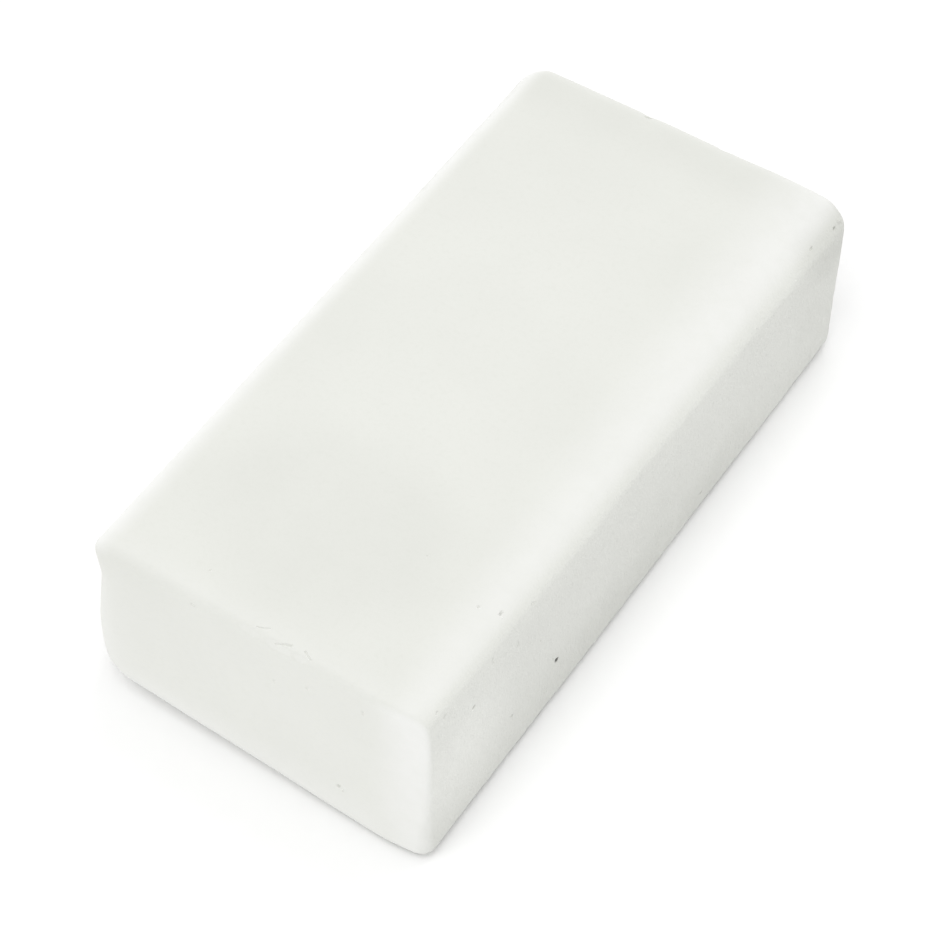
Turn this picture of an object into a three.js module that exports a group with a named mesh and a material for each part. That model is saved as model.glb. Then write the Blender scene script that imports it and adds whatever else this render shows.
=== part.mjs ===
// A gymnastics chalk block: one solid cake of pressed magnesium carbonate, with no wrapper.
// Millimetres, +Z up. The origin is at the middle of the flat underside.
// X runs across the block, Y along it from front to back, and Z up through its thickness.

import * as THREE from 'three';
import { mergeVertices } from 'three/addons/utils/BufferGeometryUtils.js';

// Driving dimensions of the whole block, as callipers would measure them.
const LENGTH = 100;
const WIDTH = 48.4;
const THICKNESS = 26;

// The block came out of its mould a little uneven: each long side leans in towards the top,
// and the front end is set back at its left.
const LEAN_LEFT = 1.4;
const LEAN_RIGHT = { front: 1.1, back: 0.5 };
const FRONT_SET_BACK = 1.2;

// Rounding radii at the corners and half-way up between them: first of the four long edges, and
// then of the edges round the two ends, which are no larger.
const LONG_EDGE_RADII = {
  top: { frontLeft: 1.6, frontRight: 1.5, backLeft: 4.1, backRight: 4.0 },
  middle: { frontLeft: 4.3, frontRight: 1.7, backLeft: 3.2, backRight: 2.6 },
  bottom: { frontLeft: 7.0, frontRight: 1.8, backLeft: 2.3, backRight: 2.3 },
};
const END_EDGE_RADII = {
  top: { frontLeft: 1.6, frontRight: 0.7, backLeft: 4.1, backRight: 2.8 },
  middle: { frontLeft: 4.3, frontRight: 0.7, backLeft: 3.2, backRight: 2.6 },
  bottom: { frontLeft: 7.0, frontRight: 1.7, backLeft: 2.3, backRight: 2.3 },
};

// Fractions of the height between which the middle radii hold.
const MIDDLE_STARTS = 0.5;
const MIDDLE_ENDS = 0.72;

// Worn shoulders of the top face. Each falls away towards its edge, starting `reach` in from it,
// and has lost `drop` of height at the edge. The pairs are the values at the edge's two ends,
// front then back on the long edges, and left then right on the short ones.
const TOP_SHOULDERS = {
  right: { reach: [8, 12], drop: [0.2, 0.9] },
  left: { reach: [4, 4], drop: [0.15, 0.15] },
  front: { reach: [4, 7], drop: [0.1, 0.15] },
  back: { reach: [6, 6], drop: [0.4, 0.4] },
};

// The front face falls away in the same manner towards its right-hand upright edge, and the
// right side towards its top edge, by the two values at that edge's front and back.
const FRONT_SHOULDER = { reach: 7, inset: 0.7 };
const RIGHT_SHOULDER = { reach: 6, inset: [0.9, 0.4] };

// Facets: the strips along the edges are narrow, and the middles of the faces are left wide.
const EDGE_BAND = 6;
const EDGE_STEPS = 5;
const MIDDLE_STEPS = { x: 4, y: 8, z: 2 };

const HALF_SIZE = { x: WIDTH / 2, y: LENGTH / 2, z: THICKNESS / 2 };

const CHALK_WHITE = 0xecede7;

const mix = THREE.MathUtils.lerp;
const clamp = THREE.MathUtils.clamp;
const smoothstep = THREE.MathUtils.smoothstep;

// Places of the grid lines along one axis, from the low side to the high side. They crowd
// together towards both ends, where the block is rounded.
function gridLines(halfSize, middleSteps) {
  const lines = [];
  for (let step = 0; step <= EDGE_STEPS; step += 1) {
    lines.push(-halfSize + EDGE_BAND * (step / EDGE_STEPS) ** 2);
  }
  const middleWidth = 2 * (halfSize - EDGE_BAND);
  for (let step = 1; step < middleSteps; step += 1) {
    lines.push(-halfSize + EDGE_BAND + (middleWidth * step) / middleSteps);
  }
  for (let step = EDGE_STEPS; step >= 0; step -= 1) {
    lines.push(halfSize - EDGE_BAND * (step / EDGE_STEPS) ** 2);
  }
  return lines;
}

// Fraction of the way across the block from its low side, for each axis.
function fractionsAt(point) {
  return {
    x: (point.x / HALF_SIZE.x + 1) / 2,
    y: (point.y / HALF_SIZE.y + 1) / 2,
    z: (point.z / HALF_SIZE.z + 1) / 2,
  };
}

// Rounding radius at a point of the sharp-edged block, blended from those in a table.
function blendRadii(radii, point) {
  const at = fractionsAt(point);
  const onLevel = (level) => mix(
    mix(level.frontLeft, level.frontRight, at.x),
    mix(level.backLeft, level.backRight, at.x),
    at.y,
  );
  const middle = onLevel(radii.middle);
  const low = 1 - smoothstep(at.z, 0, MIDDLE_STARTS);
  const high = smoothstep(at.z, MIDDLE_ENDS, 1);
  return middle + (onLevel(radii.bottom) - middle) * low + (onLevel(radii.top) - middle) * high;
}

// Moves a point of the sharp-edged block onto the rounded one. The long edges are rounded in
// each cross-section, whose x and z make a 2-D point here. How deep the point then lies, below
// the cross-section's outline and behind the nearer end, places it on the end edge's rounding.
function roundOff(point) {
  const longRadius = blendRadii(LONG_EDGE_RADII, point);
  const endRadius = Math.min(blendRadii(END_EDGE_RADII, point), longRadius);
  const core = new THREE.Vector2(
    clamp(point.x, longRadius - HALF_SIZE.x, HALF_SIZE.x - longRadius),
    clamp(point.z, longRadius - HALF_SIZE.z, HALF_SIZE.z - longRadius),
  );
  const beyond = new THREE.Vector2(point.x, point.z).sub(core);
  const below = longRadius - Math.max(Math.abs(beyond.x), Math.abs(beyond.y));
  const behind = HALF_SIZE.y - Math.abs(point.y);
  const centre = new THREE.Vector2(Math.max(below, endRadius), Math.max(behind, endRadius));
  const turn = new THREE.Vector2(Math.min(below, endRadius), Math.min(behind, endRadius));
  const depth = turn.subScalar(endRadius).setLength(endRadius).add(centre);
  const section = beyond.setLength(longRadius - depth.x).add(core);
  return new THREE.Vector3(section.x, Math.sign(point.y) * (HALF_SIZE.y - depth.y), section.y);
}

// How far a shoulder has fallen at a given distance in from its edge: a parabola.
function shoulderFall(distance, reach, depth) {
  return depth * clamp(1 - distance / reach, 0, 1) ** 2;
}

// Leans the long sides in and wears the shoulders down. The top shoulders fade out towards the
// underside, which stays flat, the front one towards the back, and the right one to the left.
function leanAndWear(point) {
  const at = fractionsAt(point);
  const edges = [
    { shoulder: TOP_SHOULDERS.right, distance: HALF_SIZE.x - point.x, along: at.y },
    { shoulder: TOP_SHOULDERS.left, distance: HALF_SIZE.x + point.x, along: at.y },
    { shoulder: TOP_SHOULDERS.front, distance: HALF_SIZE.y + point.y, along: at.x },
    { shoulder: TOP_SHOULDERS.back, distance: HALF_SIZE.y - point.y, along: at.x },
  ];
  let lowering = 0;
  for (const { shoulder, distance, along } of edges) {
    const reach = mix(...shoulder.reach, along);
    const drop = mix(...shoulder.drop, along);
    lowering += shoulderFall(distance, reach, drop);
  }
  const frontFall = shoulderFall(HALF_SIZE.x - point.x, FRONT_SHOULDER.reach, FRONT_SHOULDER.inset);
  const rightInset = mix(...RIGHT_SHOULDER.inset, at.y);
  const rightFall = shoulderFall(HALF_SIZE.z - point.z, RIGHT_SHOULDER.reach, rightInset);
  const leanRight = mix(LEAN_RIGHT.front, LEAN_RIGHT.back, at.y);
  point.x += at.z * mix(LEAN_LEFT, -leanRight, at.x) - at.x * rightFall;
  point.y += (1 - at.y) * (mix(FRONT_SET_BACK, 0, at.x) + frontFall);
  point.z -= at.z * lowering;
}

// Stretches the geometry, by a hair, until its box measures the driving dimensions, and
// stands it on the origin.
function fitToSize(geometry) {
  geometry.center();
  const size = geometry.boundingBox.getSize(new THREE.Vector3());
  geometry.scale(WIDTH / size.x, LENGTH / size.y, THICKNESS / size.z);
  geometry.translate(0, 0, HALF_SIZE.z);
}

// The cake itself: a box divided along the grid lines, rounded off, then worn.
function chalkBlockGeometry() {
  const lines = {
    x: gridLines(HALF_SIZE.x, MIDDLE_STEPS.x),
    y: gridLines(HALF_SIZE.y, MIDDLE_STEPS.y),
    z: gridLines(HALF_SIZE.z, MIDDLE_STEPS.z),
  };
  const steps = {
    x: lines.x.length - 1,
    y: lines.y.length - 1,
    z: lines.z.length - 1,
  };
  const box = new THREE.BoxGeometry(steps.x, steps.y, steps.z, steps.x, steps.y, steps.z);
  box.deleteAttribute('normal');
  box.deleteAttribute('uv');
  const positions = box.attributes.position;
  for (let index = 0; index < positions.count; index += 1) {
    const sharp = new THREE.Vector3(
      lines.x[Math.round(positions.getX(index) + steps.x / 2)],
      lines.y[Math.round(positions.getY(index) + steps.y / 2)],
      lines.z[Math.round(positions.getZ(index) + steps.z / 2)],
    );
    const surface = roundOff(sharp);
    leanAndWear(surface);
    positions.setXYZ(index, surface.x, surface.y, surface.z);
  }
  const cake = mergeVertices(box);
  fitToSize(cake);
  cake.computeVertexNormals();
  return cake;
}

const chalk = new THREE.MeshStandardMaterial({
  name: 'pressed chalk',
  color: CHALK_WHITE,
  roughness: 0.95,
  metalness: 0,
});

const chalkBlock = new THREE.Mesh(chalkBlockGeometry(), chalk);
chalkBlock.name = 'chalk_block';

const model = new THREE.Group();
model.name = 'gymnastics_chalk_block';
model.add(chalkBlock);

export default model;
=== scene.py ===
"""A gymnastics chalk block: one worn cake of pressed white chalk, on a pale studio floor.

The block's surface is worked out in millimetres and scaled to metres when its mesh is made.
X runs across the block, Y along it from front to back, and Z up from its flat underside.
"""

import math

import bmesh
import bpy
import numpy as np
from mathutils import Matrix, Vector


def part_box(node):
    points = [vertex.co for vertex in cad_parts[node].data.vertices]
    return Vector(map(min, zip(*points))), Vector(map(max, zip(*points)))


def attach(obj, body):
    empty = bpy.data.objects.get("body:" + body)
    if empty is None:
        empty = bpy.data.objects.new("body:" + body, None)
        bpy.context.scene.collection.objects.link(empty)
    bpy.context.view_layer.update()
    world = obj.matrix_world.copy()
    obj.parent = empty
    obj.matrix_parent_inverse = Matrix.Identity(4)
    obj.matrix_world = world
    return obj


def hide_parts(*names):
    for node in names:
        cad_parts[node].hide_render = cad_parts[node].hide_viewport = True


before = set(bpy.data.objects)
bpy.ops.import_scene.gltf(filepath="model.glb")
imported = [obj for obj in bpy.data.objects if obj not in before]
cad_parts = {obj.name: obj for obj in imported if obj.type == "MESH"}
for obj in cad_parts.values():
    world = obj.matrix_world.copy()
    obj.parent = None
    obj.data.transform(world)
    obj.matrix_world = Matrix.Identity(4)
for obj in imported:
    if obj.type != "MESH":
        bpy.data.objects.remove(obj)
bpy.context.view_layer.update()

MM = 0.001
LOW, HIGH = (np.array(corner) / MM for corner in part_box("chalk_block"))
HALF = (HIGH - LOW) / 2
RIGHT, BACK, TOP = HALF
LEFT, FRONT, UNDER = -HALF

# The block came out of its mould a little uneven: each long side leans in towards the top,
# and the front end is set back at its left. In mm.
LEAN_LEFT = 1.4
LEAN_RIGHT_FRONT = 1.1
LEAN_RIGHT_BACK = 0.5
FRONT_SET_BACK = 1.2

# Rounding radii in mm, as [left, right][front, back][bottom, middle, top]: first of the four long
# edges, and then of the edges round the two ends, which are no larger.
LONG_EDGE_RADII = np.array([
    [[7.0, 4.3, 1.6], [2.3, 3.2, 4.1]],
    [[1.8, 1.7, 1.5], [2.3, 2.6, 4.0]],
])
END_EDGE_RADII = np.array([
    [[7.0, 4.3, 1.6], [2.3, 3.2, 4.1]],
    [[1.7, 0.7, 0.7], [2.3, 2.6, 2.8]],
])
MIDDLE_STARTS = 0.5  # parts of the height between which the middle radii hold
MIDDLE_ENDS = 0.72
EDGE_WAVER = 0.08  # part by which an edge's rounding swells and shrinks along it
EDGE_WAVER_SIZE = 11.0  # in mm

# Worn shoulders of the top face, in mm: how far in each one starts and how much height it has
# lost at the edge. The pairs are the values at the edge's two ends.
TOP_SHOULDERS = {
    "right": ((8.0, 12.0), (0.2, 0.9)),
    "left": ((4.0, 4.0), (0.15, 0.15)),
    "front": ((4.0, 7.0), (0.1, 0.15)),
    "back": ((6.0, 6.0), (0.4, 0.4)),
}

# The front face falls away in the same way at its right, and the right side at its top, where
# the depth goes from one value at the front to another at the back.
FRONT_SHOULDER = (7.0, 0.7)
RIGHT_SHOULDER = (6.0, (0.9, 0.4))

# How far the middles of the faces have sunk, in mm.
TOP_DISH = 0.25
SIDE_DISH = 0.15

# The underside has warped up, by this much, towards the right side's front corner.
FRONT_RIGHT_LIFT = 0.45
LIFT_WIDTH = 9.0  # how far the lift reaches, in from the side and up from the base

# Small marks, as [place, other end, radius, depth] in mm: pits, crumbs, which stand proud, and
# hairline cracks. The places are on the sharp-edged block, measured from its middle.
PINHOLE = ((RIGHT, -21.2, -5.2), (RIGHT, -21.5, -5.0), 0.34, 1.2)
PITS = [
    ((RIGHT, -31.6, -4.8), (RIGHT, -31.6, -4.8), 0.24, 0.28),
    ((RIGHT, -40.7, 6.6), (RIGHT, -40.5, 6.6), 0.26, 0.36),
    ((RIGHT, -25.6, 3.0), (RIGHT, -25.6, 3.0), 0.16, 0.15),
    ((RIGHT, 14.0, -9.0), (RIGHT, 14.3, -9.0), 0.20, 0.20),
    ((RIGHT, 46.0, 11.3), (RIGHT, 46.2, 11.3), 0.28, 0.30),
    ((RIGHT, 40.6, 12.2), (RIGHT, 40.9, 12.4), 0.30, 0.20),
    ((RIGHT, -27.4, 11.3), (RIGHT, -27.1, 11.1), 0.28, 0.12),
    ((RIGHT, -31.0, 7.8), (RIGHT, -31.1, 8.4), 0.26, 0.12),
    ((RIGHT, -36.4, 10.0), (RIGHT, -36.3, 10.6), 0.28, 0.13),
    ((RIGHT, -46.5, 10.8), (RIGHT, -46.2, 10.9), 0.28, 0.14),
    ((RIGHT, -47.4, 12.3), (RIGHT, -47.2, 12.3), 0.26, 0.12),
    ((22.9, -31.7, TOP), (22.9, -31.5, TOP), 0.30, 0.36),
    ((20.2, -32.2, TOP), (20.2, -32.2, TOP), 0.27, 0.22),
    ((10.9, -29.3, TOP), (10.9, -29.3, TOP), 0.22, 0.10),
    ((-9.5, -45.4, TOP), (-9.5, -45.4, TOP), 0.25, 0.10),
    ((-5.6, 47.8, TOP), (-5.1, 47.9, TOP), 0.30, 0.25),
    ((12.1, FRONT, -6.5), (12.2, FRONT, -6.3), 0.28, 0.26),
    ((15.4, FRONT, 9.5), (15.5, FRONT, 9.9), 0.24, 0.11),
    ((2.8, FRONT, 6.2), (2.8, FRONT, 6.5), 0.20, 0.08),
    ((7.4, FRONT, 8.4), (7.4, FRONT, 8.6), 0.20, 0.09),
    ((-9.0, FRONT, 12.0), (-8.7, FRONT, 12.0), 0.26, 0.12),
]
CRUMBS = [
    ((RIGHT, 47.4, 11.6), (RIGHT, 47.4, 11.6), 0.40, -0.30),
    ((RIGHT, 25.6, 11.0), (RIGHT, 25.6, 11.0), 0.20, -0.12),
    ((RIGHT, 29.2, 10.0), (RIGHT, 29.2, 10.0), 0.18, -0.10),
    ((RIGHT, -22.2, -3.9), (RIGHT, -22.2, -3.9), 0.16, -0.12),
    ((23.4, -32.1, TOP), (23.4, -32.1, TOP), 0.20, -0.10),
    ((12.7, FRONT, -6.8), (12.7, FRONT, -6.8), 0.20, -0.12),
]
CRACKS = [
    ((0.0, -48.9, TOP), (0.7, -48.7, TOP), 0.18, 0.15),
    ((0.7, -48.7, TOP), (1.4, -48.3, TOP), 0.16, 0.11),
    ((3.0, -49.8, TOP), (3.8, -49.3, TOP), 0.17, 0.14),
    ((3.8, -49.3, TOP), (5.0, -48.9, TOP), 0.20, 0.20),
    ((6.8, -48.7, TOP), (8.0, -49.3, TOP), 0.18, 0.17),
]
PITS_PER_HIDDEN_SIDE = 7

# Flakes lost from the edges, as [place, reach, depth] in mm: each one left a shallow scoop.
FLAKES = [
    ((-0.8, FRONT, TOP), 1.6, 0.14),
    ((3.2, FRONT, TOP), 2.2, 0.18),
    ((6.6, FRONT, TOP), 1.2, 0.13),
    ((-5.6, BACK, TOP), 1.4, 0.30),
    ((5.6, BACK, TOP), 1.1, 0.26),
    ((LEFT, 21.0, TOP), 1.3, 0.25),
    ((LEFT, -12.0, UNDER), 1.9, 0.40),
    ((13.0, BACK, UNDER), 1.5, 0.35),
    ((RIGHT, 8.0, UNDER), 1.2, 0.25),
]

# The lattice that the surface is made on. Its lines are closer together in a fine band along
# each edge. It's refined round each mark and flake, as far out as the mark's radius or the
# flake's reach, times a margin. The lengths are in mm.
FINE_BAND = 4.0
FINE_SPACING = 0.25
WIDE_SPACING = 0.60
FLAKE_SPACING = 0.16
FACES_ACROSS_MARK = 6
MARK_MARGIN = 1.3
FLAKE_MARGIN = 1.2
REFINE_ROUNDS = 4
WIDEST_CORNER = math.radians(100)  # a face with a wider corner is split into triangles

# Smooth noise is read from a repeating table of random values: how many it has each way, and
# how many of them lie before the block's middle.
NOISE_TABLE_SIZE = 32
NOISE_START = 500

# Lumps and grain of the surface, as [height, size across, seed] with lengths in mm: those on
# every face, and the rougher ones that only the long sides have.
FACE_GRAIN = [(0.06, 17, 21), (0.025, 5, 22), (0.008, 1.6, 23)]
SIDE_GRAIN = [(0.05, 1.3, 24), (0.02, 0.7, 25)]

# Colours, as linear red, green, blue and alpha.
CHALK_PALE = (0.766, 0.772, 0.737, 1)
CHALK_DEEP = (0.750, 0.756, 0.721, 1)
CHALK_SPECK = (0.70, 0.71, 0.665, 1)
# Painted shade, greying the long sides, their bottom edges and far corner; also greyer patches on
# the top and front.
CHALK_SHADE_GREY = (0.640, 0.646, 0.609, 1)
# Painted highlight: paler chalk in a band on the right side next to the front.
CHALK_PAINTED_LIGHT = (0.838, 0.844, 0.808, 1)
# Painted highlights along the edges, and the whiter fresh chalk of the flake scoops.
CHALK_HIGHLIGHT_AND_FRESH = (0.830, 0.832, 0.817, 1)
# Near black: painted shade in the deeper pits, the cracks and the pinhole.
CHALK_PIT_SHADE = (0.04, 0.04, 0.03, 1)
FLOOR_WHITE = (0.96, 0.96, 0.96, 1)

# Camera, floor and lights. Lengths are in metres, apart from the lens's, which is in mm. Each
# softbox has a place and a power in watts.
CAMERA_YAW = math.radians(27.76)
CAMERA_ELEVATION = math.radians(49.33)
CAMERA_ROLL = math.radians(4.96)
CAMERA_DISTANCE = 0.4699
CAMERA_OFFSET = (-0.00039, 0.00403)
CAMERA_LENS = 144.76
FLOOR_REACH = 3.0
WORLD_STRENGTH = 0.80
SOFTBOX_SIZE = 0.7
FRONT_SOFTBOX = ((0, -0.56, 1.06), 4.4)
BACK_SOFTBOX = ((0, 0.56, 1.06), 2.0)


def between(low, high, fraction):
    """The value at that fraction of the way from low to high."""
    return low + (high - low) * fraction


def soften(fraction):
    """The fraction, kept within 0 and 1, with a smooth start and end."""
    fraction = np.clip(fraction, 0, 1)
    return fraction * fraction * (3 - 2 * fraction)


def patch(distance, reach, fullness=1):
    """A soft patch: 1 in its middle and gone at its reach. A fuller one has a wider middle."""
    return soften(fullness * (1 - distance / reach))


def fall(distance, reach, depth):
    """How far a shoulder has fallen at a distance in from its edge: a parabola."""
    return depth * np.clip(1 - distance / reach, 0, 1) ** 2


def lumps(points, size, seed):
    """Smooth noise from -1 to 1 at each point, with lumps about size mm across."""
    random = np.random.default_rng(seed)
    turn, _ = np.linalg.qr(random.normal(size=(3, 3)))
    cells = points @ turn / size + NOISE_START
    corner = np.floor(cells).astype(int)
    part = soften(cells - corner)
    table = random.uniform(-1, 1, [NOISE_TABLE_SIZE] * 3)
    total = np.zeros(len(points))
    for step in np.ndindex(2, 2, 2):
        weight = np.prod(np.where(step, part, 1 - part), axis=1)
        i, j, k = ((corner + step) % NOISE_TABLE_SIZE).T
        total += weight * table[i, j, k]
    return total


# ---- The sharp-edged lattice --------------------------------------------------------------

def lattice_lines(half):
    """Places of the lattice lines along one axis, close together near both edges."""
    edge = np.arange(0, FINE_BAND, FINE_SPACING)
    steps = round(2 * (half - FINE_BAND) / WIDE_SPACING)
    middle = np.linspace(-half + FINE_BAND, half - FINE_BAND, steps + 1)
    return np.concatenate([-half + edge, middle, (half - edge)[::-1]])


def box_lattice():
    """Points and quads of the sharp-edged block, divided along the lattice lines."""
    lines = [lattice_lines(half) for half in HALF]
    shape = tuple(len(line) for line in lines)
    inside = np.zeros(shape, bool)
    inside[1:-1, 1:-1, 1:-1] = True
    number = np.full(shape, -1)
    number[~inside] = np.arange(np.count_nonzero(~inside))
    places = np.argwhere(~inside)
    points = np.stack([line[place] for line, place in zip(lines, places.T)], axis=1)
    quads = []
    for axis in range(3):
        for end in (0, -1):
            face = np.take(number, end, axis=axis)
            corners = [face[:-1, :-1], face[1:, :-1], face[1:, 1:], face[:-1, 1:]]
            outward = (end == -1) != (axis == 1)
            ring = corners if outward else corners[::-1]
            quads.append(np.stack([corner.ravel() for corner in ring], axis=1))
    return points, np.concatenate(quads)


def hidden_side_pits():
    """A few small pits at random on each of the left, back and under sides."""
    random = np.random.default_rng(seed=31)
    pits = []
    for axis in range(3):
        for _ in range(PITS_PER_HIDDEN_SIDE):
            place = random.uniform(-0.85, 0.85, 3) * HALF
            place[axis] = (LEFT, BACK, UNDER)[axis]
            radius = random.uniform(0.16, 0.34)
            pits.append((tuple(place), tuple(place), radius, radius * random.uniform(0.5, 1.2)))
    return pits


def widest_corner(face):
    """The widest angle between two neighbouring edges of a face."""
    return max(corner.calc_angle() for corner in face.loops)


def refine(lattice, spots):
    """Divides the lattice near each spot, [start, end, reach, spacing], down to its spacing.

    Each round also splits the uneven faces that it leaves behind into triangles.
    """
    for _ in range(REFINE_ROUNDS):
        lattice.faces.ensure_lookup_table()
        lattice.edges.ensure_lookup_table()
        lattice.edges.index_update()
        middles = np.array([face.calc_center_median() for face in lattice.faces])
        sizes = np.sqrt([face.calc_area() for face in lattice.faces])
        numbers = set()
        for start, end, reach, spacing in spots:
            near = distance_to_mark(middles, start, end) < reach + sizes
            for face_number in np.flatnonzero(near):
                for edge in lattice.faces[face_number].edges:
                    if edge.calc_length() > spacing:
                        numbers.add(edge.index)
        edges = [lattice.edges[number] for number in sorted(numbers)]
        bmesh.ops.subdivide_edges(lattice, edges=edges, cuts=1, use_grid_fill=True)
        uneven = [face for face in lattice.faces if widest_corner(face) > WIDEST_CORNER]
        bmesh.ops.triangulate(lattice, faces=uneven)


# ---- From the lattice to the worn surface ---------------------------------------------------

def blend_radii(radii, points):
    """The rounding radius at each point, blended from those in a table."""
    across, along, up = ((points / HALF + 1) / 2).T
    low = soften(1 - up / MIDDLE_STARTS)
    high = soften((up - MIDDLE_ENDS) / (1 - MIDDLE_ENDS))
    total = np.zeros(len(points))
    for side, side_weight in enumerate((1 - across, across)):
        for end, end_weight in enumerate((1 - along, along)):
            bottom, middle, top = radii[side, end]
            level = middle + (bottom - middle) * low + (top - middle) * high
            total += level * side_weight * end_weight
    return total


def round_off(sharp):
    """Rounds the sharp block's edges. Gives the points and their outward directions.

    The long edges are rounded first, in each cross-section. How deep a point then lies, below
    the cross-section's outline and behind the nearer end, places it on the end edge's rounding.
    """
    waver = 1 + EDGE_WAVER * lumps(sharp, EDGE_WAVER_SIZE, seed=11)
    long_radius = blend_radii(LONG_EDGE_RADII, sharp) * waver
    end_radius = np.minimum(blend_radii(END_EDGE_RADII, sharp) * waver, long_radius)

    half = HALF[[0, 2]]
    section = sharp[:, [0, 2]]
    core = np.clip(section, long_radius[:, None] - half, half - long_radius[:, None])
    beyond = section - core
    way_out = beyond / np.maximum(np.linalg.norm(beyond, axis=1, keepdims=True), 1e-9)

    end = np.sign(sharp[:, 1])
    under_outline = long_radius - np.abs(beyond).max(axis=1)
    behind_end = BACK - np.abs(sharp[:, 1])
    depths = np.stack([under_outline, behind_end], axis=1)
    centre = np.maximum(depths, end_radius[:, None])
    turn = depths.clip(max=end_radius[:, None]) - end_radius[:, None]
    turn /= np.linalg.norm(turn, axis=1, keepdims=True)
    below, behind = (centre + end_radius[:, None] * turn).T

    x, z = (core + way_out * (long_radius - below)[:, None]).T
    out_x, out_z = (way_out * -turn[:, :1]).T
    points = np.stack([x, end * (BACK - behind), z], axis=1)
    return points, np.stack([out_x, end * -turn[:, 1], out_z], axis=1)


def lean_and_wear(points):
    """Leans the long sides in and wears down the shoulders of the top, front and right side."""
    x, y, z = points.T
    across, along, up = ((points / HALF + 1) / 2).T
    lowering = np.zeros(len(points))
    for name, distance, place in (
        ("right", RIGHT - x, along),
        ("left", x - LEFT, along),
        ("front", y - FRONT, across),
        ("back", BACK - y, across),
    ):
        reach, drop = TOP_SHOULDERS[name]
        lowering += fall(distance, between(*reach, place), between(*drop, place))
    front_fall = fall(RIGHT - x, *FRONT_SHOULDER) + between(FRONT_SET_BACK, 0, across)
    reach, depth = RIGHT_SHOULDER
    right_fall = fall(TOP - z, reach, between(*depth, along))
    lean_right = between(LEAN_RIGHT_FRONT, LEAN_RIGHT_BACK, along)
    x = x + up * between(LEAN_LEFT, -lean_right, across) - across * right_fall
    y = y + (1 - along) * front_fall
    return np.stack([x, y, z - lowering * up], axis=1)


def fit_to_frame(points):
    """Stretches the points, by a hair, until they fill the box that the frame gives the block."""
    low, high = points.min(axis=0), points.max(axis=0)
    return (points - low) / (high - low) * (HIGH - LOW) + LOW


def dish(points, outward):
    """How far each face sinks in its middle: the top most, the sides a little."""
    x, y, z = np.clip(points / HALF, -1, 1).T
    bowl_top = (1 - x**2) * (1 - y**2)
    bowl_long = (1 - y**2) * (1 - z**2)
    bowl_end = (1 - x**2) * (1 - z**2)
    return (
        TOP_DISH * bowl_top * np.clip(outward[:, 2], 0, 1)
        + SIDE_DISH * bowl_long * np.abs(outward[:, 0])
        + SIDE_DISH * bowl_end * np.abs(outward[:, 1])
    )


def coarseness(outward):
    """How coarse the chalk is: 1 on the long sides, and 0 on the ends, top and underside."""
    return np.abs(outward[:, 0]) ** 2


def grain(points, outward):
    """Height of the surface's lumps and grain: faint on the pressed faces, coarser at the sides."""
    on_faces = sum(height * lumps(points, size, seed) for height, size, seed in FACE_GRAIN)
    on_sides = sum(height * lumps(points, size, seed) for height, size, seed in SIDE_GRAIN)
    return on_faces + coarseness(outward) * on_sides


def distance_to_mark(points, start, end):
    """How far each point is from the straight line between a mark's two ends."""
    way = np.subtract(end, start)
    part = np.clip((points - start) @ way / max(way @ way, 1e-9), 0, 1)
    return np.linalg.norm(points - start - part[:, None] * way, axis=1)


def mark_depths(sharp, marks):
    """How deep the marks are at each point, with ragged outlines and steep walls."""
    depth = np.zeros(len(sharp))
    ragged = 1 + 0.3 * lumps(sharp, size=0.35, seed=41)
    for start, end, radius, middle_depth in marks:
        distance = distance_to_mark(sharp, start, end) / radius * ragged
        here = middle_depth * patch(distance, 1, 1.3)
        depth = np.where(np.abs(here) > np.abs(depth), here, depth)
    return depth


def scoop_out(points, flakes):
    """Takes a shallow ragged scoop out of the rounded block for each flake."""
    ragged = 0.05 * lumps(points, size=0.8, seed=42) + 0.02 * lumps(points, size=0.35, seed=43)
    for place, reach, depth in flakes:
        (middle,), (direction,) = round_off(np.array([place]))
        offset = points - middle
        height = offset @ direction
        aside = np.linalg.norm(offset - height[:, None] * direction, axis=1)
        floor_height = depth * ((aside / reach) ** 2 - 1) + ragged * soften(2 - aside / reach)
        lost = np.where(aside < 2 * reach, np.clip(height - floor_height, 0, None), 0)
        points = points - lost[:, None] * direction
    return points


def underside_lift(points):
    """How far the warped underside stands off the floor, next to the right side's front half."""
    reach = soften((points[:, 0] - RIGHT + LIFT_WIDTH) / LIFT_WIDTH)
    return FRONT_RIGHT_LIFT * reach * soften(points[:, 1] / FRONT) * soften(-points[:, 2])


def chalk_surface(sharp, marks):
    """The worn surface's points for the points of the sharp-edged block."""
    rounded, outward = round_off(sharp)
    height = grain(rounded, outward) - dish(rounded, outward)
    height *= np.clip(outward[:, 2] + 1, 0, 1) ** 0.5  # the underside has no lumps
    height -= mark_depths(sharp, marks)
    surface = fit_to_frame(lean_and_wear(scoop_out(rounded, FLAKES))) + outward * height[:, None]
    surface[:, 2] += underside_lift(rounded) * np.clip(1 - surface[:, 2] / LIFT_WIDTH, 0, 1)
    return surface


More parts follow.
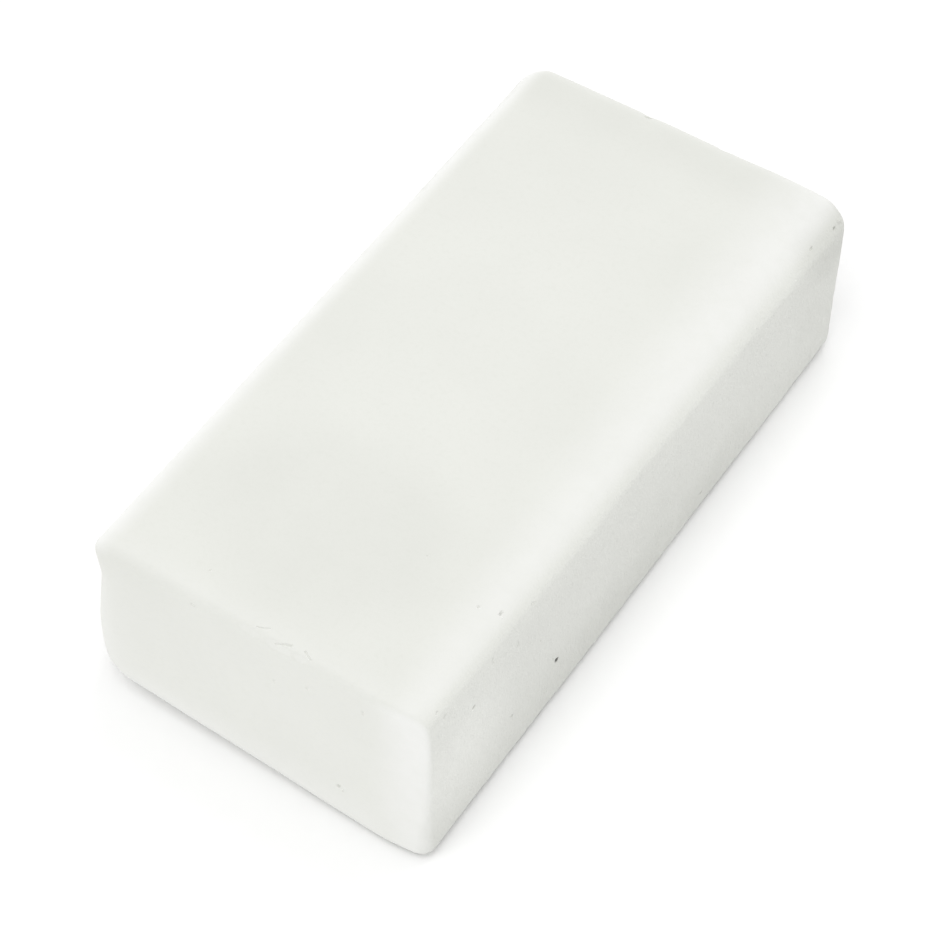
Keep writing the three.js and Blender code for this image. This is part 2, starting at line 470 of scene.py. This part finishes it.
def make_chalk_block():
    """The block's mesh, at its place on the frame."""
    marks = [PINHOLE] + PITS + CRUMBS + CRACKS + hidden_side_pits()
    points, quads = box_lattice()
    mesh = bpy.data.meshes.new("chalk_cake")
    mesh.from_pydata(points.tolist(), [], quads.tolist())
    lattice = bmesh.new()
    lattice.from_mesh(mesh)
    spots = [
        (start, end, MARK_MARGIN * radius, 2 * radius / FACES_ACROSS_MARK)
        for start, end, radius, _ in marks
    ]
    spots += [(place, place, FLAKE_MARGIN * reach, FLAKE_SPACING) for place, reach, _ in FLAKES]
    refine(lattice, spots)
    lattice.to_mesh(mesh)
    lattice.free()
    sharp = np.array([vertex.co for vertex in mesh.vertices])
    mesh.vertices.foreach_set("co", (chalk_surface(sharp, marks) * MM).ravel())
    mesh.polygons.foreach_set("use_smooth", [True] * len(mesh.polygons))
    for name, values in wear_maps(sharp, marks).items():
        mesh.attributes.new(name, "FLOAT", "POINT").data.foreach_set("value", values)
    mesh.update()
    block = bpy.data.objects.new("chalk_cake", mesh)
    bpy.context.scene.collection.objects.link(block)
    return block


# ---- Wear, painted highlights and painted shade, as values from 0 to 1 that the material reads ---

def edge_band(distance, peak, reach, at_edge=1):
    """A soft band along an edge: at_edge at the edge itself, 1 at its peak and 0 at its reach."""
    rise = between(at_edge, 1, soften(distance / peak))
    return rise * soften((reach - distance) / (reach - peak))


def painted_highlight_map(sharp, outward):
    """Painted highlights: pale bands along the edges, each with its own width."""
    x, y, z = sharp.T
    along = (y / BACK + 1) / 2
    up = (z / TOP + 1) / 2
    on_flat_top = soften(2 * outward[:, 2] - 1)
    on_top = soften(outward[:, 2])
    on_front = soften(-outward[:, 1])

    top_right = between(0.5, 0.8, along) * edge_band(RIGHT - x, 2.0, between(7, 15, along))
    top_left = edge_band(x - LEFT, 0.4, 3.8)
    top_front = 0.20 * edge_band(y - FRONT, 0.8, 5.0)
    front_right = between(0.6, 1.0, up) * edge_band(RIGHT - x, 1.5, 9)
    front_left = between(0.5, 0.0, up) * edge_band(x - LEFT, 2, 9)
    front_bottom = between(0.9, 0.4, (x - LEFT) / 40) * edge_band(z - UNDER, 0.5, 9)
    return np.max([
        on_flat_top * top_right,
        on_top * top_left,
        on_top * top_front,
        on_front * front_right,
        on_front * front_left,
        on_front * front_bottom,
    ], axis=0)


def painted_light_map(sharp, outward):
    """Painted highlight on the right side: a pale band next to the front."""
    _, y, z = sharp.T
    on_flat_right = soften(2 * outward[:, 0] - 1)
    above_bottom = soften(0.9 * (z / TOP + 1))
    below_top = soften((TOP - z) / 11)
    return 0.9 * on_flat_right * above_bottom * below_top * edge_band(y - FRONT, 8, 22, 0.8)


def shade_and_grey_map(sharp, outward):
    """Painted shade on the long sides: a patch in the middle, towards the back, towards the bottom
    and at the far upright corner, and along their bottom edges; and greyer patches on the top and
    front.
    """
    x, y, z = sharp.T
    up = (z / TOP + 1) / 2
    on_top = soften(outward[:, 2])
    on_front = soften(-outward[:, 1])
    on_sides = coarseness(outward)
    round_sides = soften(2 * np.abs(outward[:, 0]))
    round_right = soften(2 * outward[:, 0])

    top_front = 0.19 * patch(np.hypot((x + 2) / 1.45, (y + 32) / 1.15), 15, 2)
    top_back = 0.24 * patch(BACK - y, 13, 1.5)
    front_left = between(0.05, 0.24, up) * patch(x - LEFT, 30)
    side_middle = 0.34 * patch(np.hypot((y - 4) / 1.6, z + 5), 14)
    side_back = 0.25 * soften((y - 30) / 14) * soften((TOP + 2 - z) / 7)
    side_low = 0.22 * patch(z - UNDER, 16)
    far_corner = 0.80 * patch(np.hypot(y - 47, z - 12), 13, 1.4)
    from_front = soften((y + 40) / 30)
    past_middle = soften((y - 15) / 20)
    along_bottom = between(0.45, 0.9, from_front) * between(1, 0.45, past_middle)
    bottom_edge = along_bottom * patch(z - UNDER, 14)
    return np.max([
        on_top * top_front,
        on_top * top_back,
        on_front * front_left,
        on_sides * side_middle,
        on_sides * side_back,
        on_sides * side_low,
        round_right * far_corner,
        round_sides * bottom_edge,
    ], axis=0)


def wear_maps(sharp, marks):
    """Maps of painted highlights and whiter flake scoops, painted shade and greyer patches, coarse
    grain and painted shade in the pits, at each point.
    """
    rounded, outward = round_off(sharp)
    scooped = np.linalg.norm(scoop_out(rounded, FLAKES) - rounded, axis=1)

    # Marks are painted dark, as their shade, from a quarter of a millimetre down, and the pinhole
    # from its rim.
    shaded_marks = soften((mark_depths(sharp, marks) - 0.25) / 0.5)
    shaded_pinhole = soften(mark_depths(sharp, [PINHOLE]) / 0.15)
    return {
        # Painted highlights along the edges, and whiter fresh chalk in the flake scoops.
        "highlight_and_fresh": np.maximum(painted_highlight_map(sharp, outward), 0.3 * soften(scooped / 0.1)),
        # Painted highlight on the right side, next to the front.
        "painted_light": painted_light_map(sharp, outward),
        # Painted shade on the long sides, and greyer patches on the top and front.
        "shade_and_grey": shade_and_grey_map(sharp, outward),
        "coarse": coarseness(outward),
        # Painted shade in the deeper pits, cracks and pinhole.
        "pit_shade": np.maximum(shaded_marks, shaded_pinhole),
    }


# ---- Materials ----------------------------------------------------------------------------

def add_node(tree, kind, values, **settings):
    """Adds a node with its settings, and gives its inputs their values or links."""
    node = tree.nodes.new(kind)
    for name, value in settings.items():
        setattr(node, name, value)
    for name, value in values.items():
        if isinstance(value, bpy.types.NodeSocket):
            tree.links.new(value, node.inputs[name])
        else:
            node.inputs[name].default_value = value
    return node


def noise(tree, place, size, detail, low, high):
    """Noise with lumps about size mm across, stretched so that low to high becomes 0 to 1."""
    values = {"Vector": place, "Scale": 1 / (size * MM), "Detail": detail, "Roughness": 0.6}
    texture = add_node(tree, "ShaderNodeTexNoise", values)
    values = {"Value": texture.outputs["Fac"], "From Min": low, "From Max": high}
    return add_node(tree, "ShaderNodeMapRange", values).outputs["Result"]


def blend(tree, amount, first, second):
    """The first colour, going over to the second by the amount."""
    mix = add_node(tree, "ShaderNodeMix", {0: amount, 6: first, 7: second}, data_type="RGBA")
    return mix.outputs[2]


def maths(tree, operation, *values):
    """The result of a Math node."""
    return add_node(tree, "ShaderNodeMath", dict(enumerate(values)), operation=operation).outputs[0]


def chalk_material():
    """Dry pressed chalk: faintly warm and mottled, with painted highlights along the edges, whiter
    flake scoops, painted shade on the long sides and in the pits, and dull.
    """
    material = bpy.data.materials.new("pressed_chalk")
    material.use_nodes = True
    tree = material.node_tree
    place = add_node(tree, "ShaderNodeTexCoord", {}).outputs["Object"]
    highlight_and_fresh, painted_light, shade_and_grey, coarse, pit_shade = (
        add_node(tree, "ShaderNodeAttribute", {}, attribute_name=name).outputs["Fac"]
        for name in ("highlight_and_fresh", "painted_light", "shade_and_grey", "coarse", "pit_shade")
    )

    mottling = noise(tree, place, size=22, detail=3, low=0.35, high=0.65)
    mottled = blend(tree, mottling, CHALK_PALE, CHALK_DEEP)
    specks = noise(tree, place, size=0.7, detail=2, low=0.5, high=0.8)
    specked = blend(tree, maths(tree, "MULTIPLY", specks, 0.25), mottled, CHALK_SPECK)
    broad_patches = noise(tree, place, size=5, detail=3, low=-0.6, high=0.6)
    # Painted shade and greyer patches.
    shade_grey_amount = maths(tree, "MULTIPLY", shade_and_grey, broad_patches)
    shaded_grey = blend(tree, shade_grey_amount, specked, CHALK_SHADE_GREY)
    patches = noise(tree, place, size=2.5, detail=3, low=-0.6, high=0.6)
    # Painted highlight on the right side, next to the front.
    lit = blend(tree, maths(tree, "MULTIPLY", painted_light, patches), shaded_grey, CHALK_PAINTED_LIGHT)
    # Painted highlights along the edges, and whiter flake scoops.
    highlighted = blend(tree, maths(tree, "MULTIPLY", highlight_and_fresh, patches), lit, CHALK_HIGHLIGHT_AND_FRESH)
    # Painted shade in the pits and cracks.
    colour = blend(tree, pit_shade, highlighted, CHALK_PIT_SHADE)

    fine = noise(tree, place, size=0.35, detail=2, low=0, high=1)
    broad = noise(tree, place, size=1.1, detail=2, low=0, high=1)
    grains = maths(tree, "ADD", fine, broad)
    # The grain is about ten times as high on the long sides as on the pressed faces.
    relief = maths(tree, "MULTIPLY_ADD", coarse, 2.2, 0.25)
    height = maths(tree, "MULTIPLY", grains, relief)
    values = {"Height": height, "Strength": 1.0, "Distance": 0.05 * MM}
    bump = add_node(tree, "ShaderNodeBump", values)
    roughness = maths(tree, "MULTIPLY_ADD", fine, 0.08, 0.9)

    shader = tree.nodes["Principled BSDF"]
    tree.links.new(colour, shader.inputs["Base Color"])
    tree.links.new(roughness, shader.inputs["Roughness"])
    tree.links.new(bump.outputs["Normal"], shader.inputs["Normal"])
    shader.inputs["Diffuse Roughness"].default_value = 0.9
    shader.inputs["Specular IOR Level"].default_value = 0.15
    shader.inputs["Sheen Weight"].default_value = 0.06
    shader.inputs["Sheen Roughness"].default_value = 0.6
    return material


def floor_material():
    """Matt white paper."""
    material = bpy.data.materials.new("white_paper")
    material.use_nodes = True
    shader = material.node_tree.nodes["Principled BSDF"]
    shader.inputs["Base Color"].default_value = FLOOR_WHITE
    shader.inputs["Roughness"].default_value = 1.0
    shader.inputs["Specular IOR Level"].default_value = 0.0
    return material


# ---- Stage --------------------------------------------------------------------------------

def make_camera():
    """The camera, turned round the block's base and moved a little sideways in its own plane."""
    data = bpy.data.cameras.new("camera")
    data.lens = CAMERA_LENS
    data.clip_start = 0.01
    data.clip_end = 10
    camera = bpy.data.objects.new("camera", data)
    turn = (
        Matrix.Rotation(CAMERA_YAW, 4, "Z")
        @ Matrix.Rotation(math.pi / 2 - CAMERA_ELEVATION, 4, "X")
        @ Matrix.Rotation(CAMERA_ROLL, 4, "Z")
    )
    camera.matrix_world = turn @ Matrix.Translation((*CAMERA_OFFSET, CAMERA_DISTANCE))
    bpy.context.scene.collection.objects.link(camera)
    bpy.context.scene.camera = camera


def make_floor():
    """A wide pale floor at the height of the block's underside."""
    mesh = bpy.data.meshes.new("floor")
    ways = [(-1, -1), (1, -1), (1, 1), (-1, 1)]
    corners = [(FLOOR_REACH * x, FLOOR_REACH * y, 0) for x, y in ways]
    mesh.from_pydata(corners, [], [(0, 1, 2, 3)])
    mesh.materials.append(floor_material())
    floor = bpy.data.objects.new("floor", mesh)
    bpy.context.scene.collection.objects.link(floor)


def make_softbox(name, place, power):
    """A square soft light that looks at the block."""
    data = bpy.data.lights.new(name, "AREA")
    data.size = SOFTBOX_SIZE
    data.energy = power
    light = bpy.data.objects.new(name, data)
    light.location = place
    light.rotation_euler = (-Vector(place)).to_track_quat("-Z", "Y").to_euler()
    bpy.context.scene.collection.objects.link(light)


def make_world():
    """Even white light from all round."""
    world = bpy.data.worlds.new("studio")
    world.use_nodes = True
    background = world.node_tree.nodes["Background"]
    background.inputs["Color"].default_value = (1, 1, 1, 1)
    background.inputs["Strength"].default_value = WORLD_STRENGTH
    bpy.context.scene.world = world


make_camera()
make_floor()
make_world()
make_softbox("front softbox", *FRONT_SOFTBOX)
make_softbox("back softbox", *BACK_SOFTBOX)
bpy.context.scene.view_settings.view_transform = "Standard"

block = make_chalk_block()
block.data.materials.append(chalk_material())
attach(block, "root")
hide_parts("chalk_block")
